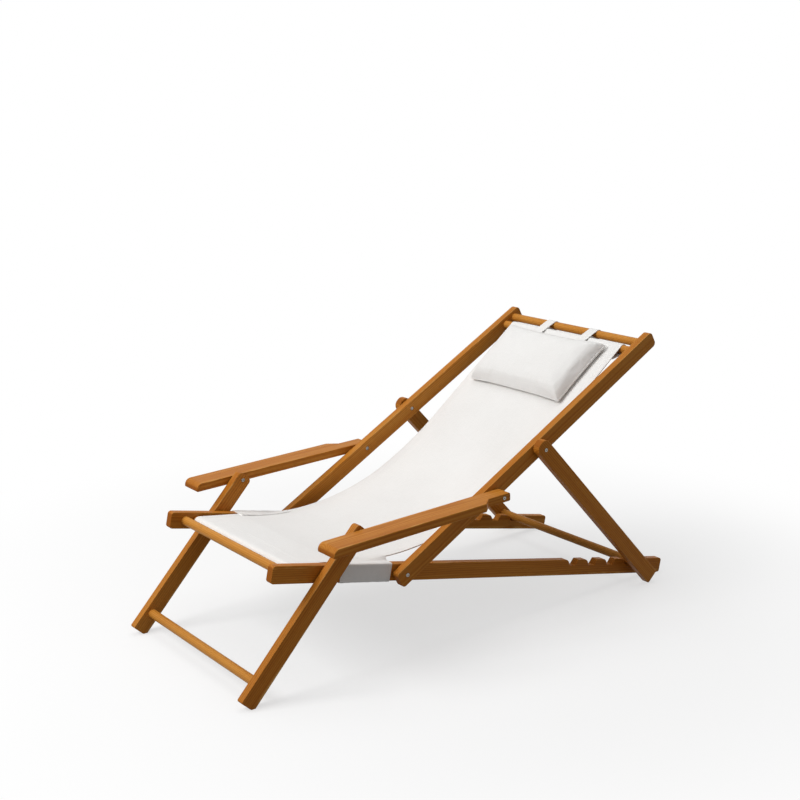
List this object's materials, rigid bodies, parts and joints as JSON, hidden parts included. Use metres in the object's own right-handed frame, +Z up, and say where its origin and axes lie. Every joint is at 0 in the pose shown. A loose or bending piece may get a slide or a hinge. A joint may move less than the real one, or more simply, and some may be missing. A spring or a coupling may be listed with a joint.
{
  "type": "folding lounge chair",
  "caption": "Folding wooden lounge chair with a cloth sling seat, flat arms, a notched prop frame that sets the recline and a strapped headrest pillow.",
  "frame": {"origin": "on the floor, at the middle of the chair's length and width", "axes": "+Z up, the sitter faces -Y, the sitter's left hand is on +X"},
  "size_m": [0.772, 1.5838, 0.8001],
  "materials": {
    "oiled_wood": "oiled hardwood with fine grain",
    "bolt_steel": "zinc-plated steel",
    "spacer_nylon": "moulded nylon",
    "sling_canvas": "natural off-white canvas",
    "pillow_canvas": "natural off-white canvas"
  },
  "bodies": {
    "base_frame": {"base_rail_left": "oiled_wood", "base_rail_right": "oiled_wood", "front_dowel": "oiled_wood", "front_sling_dowel": "oiled_wood", "sling_seat": "sling_canvas", "sling_tab_left": "sling_canvas", "sling_tab_right": "sling_canvas", "leg_pivot_bolts": "bolt_steel", "back_pivot_bolts": "bolt_steel", "back_pivot_nuts": "bolt_steel", "base_spacers": "spacer_nylon"},
    "leg_frame": {"leg_left": "oiled_wood", "leg_right": "oiled_wood", "leg_stretcher": "oiled_wood", "arm_front_bolts": "bolt_steel", "leg_spacers": "spacer_nylon"},
    "back_frame": {"back_rail_left": "oiled_wood", "back_rail_right": "oiled_wood", "top_dowel": "oiled_wood", "sling_top_dowel": "oiled_wood", "sling_back": "sling_canvas", "arm_rear_bolts": "bolt_steel", "arm_rear_nuts": "bolt_steel", "prop_pivot_bolts": "bolt_steel", "prop_pivot_nuts": "bolt_steel", "back_spacers": "spacer_nylon"},
    "left_arm": {"arm_left": "oiled_wood"},
    "right_arm": {"arm_right": "oiled_wood"},
    "prop_frame": {"prop_strut_left": "oiled_wood", "prop_strut_right": "oiled_wood", "prop_crossbar": "oiled_wood"},
    "headrest": {"pillow": "pillow_canvas", "pillow_strap_left": "pillow_canvas", "pillow_strap_right": "pillow_canvas"}
  },
  "joints": [
    {"name": "back_fold", "type": "hinge", "parent": "base_frame", "child": "back_frame", "pos_m": [0, -0.26682, 0.24381], "axis": [1, 0, 0], "range_deg": [-38, 0]},
    {"name": "leg_fold", "type": "hinge", "parent": "base_frame", "child": "leg_frame", "pos_m": [0, -0.52277, 0.28588], "axis": [1, 0, 0], "range_deg": [-56, 0]},
    {"name": "left_arm_fold", "type": "hinge", "parent": "back_frame", "child": "left_arm", "pos_m": [0, 0.03256, 0.41527], "axis": [1, 0, 0], "range_deg": [0, 27]},
    {"name": "right_arm_fold", "type": "hinge", "parent": "back_frame", "child": "right_arm", "pos_m": [0, 0.03256, 0.41527], "axis": [1, 0, 0], "range_deg": [0, 27]},
    {"name": "prop_fold", "type": "hinge", "parent": "back_frame", "child": "prop_frame", "pos_m": [0, 0.21132, 0.51765], "axis": [1, 0, 0], "range_deg": [0, 84.4]},
    {"name": "pillow_flip", "type": "hinge", "parent": "back_frame", "child": "headrest", "pos_m": [0, 0.64781, 0.76762], "axis": [1, 0, 0], "range_deg": [-270, 0]}
  ],
  "couplings": [
    {"joint": "leg_fold", "follows": "back_fold", "ratio": 1.461},
    {"joint": "left_arm_fold", "follows": "back_fold", "ratio": -0.6956},
    {"joint": "right_arm_fold", "follows": "back_fold", "ratio": -0.6956},
    {"joint": "prop_fold", "follows": "back_fold", "ratio": -2.22}
  ]
}
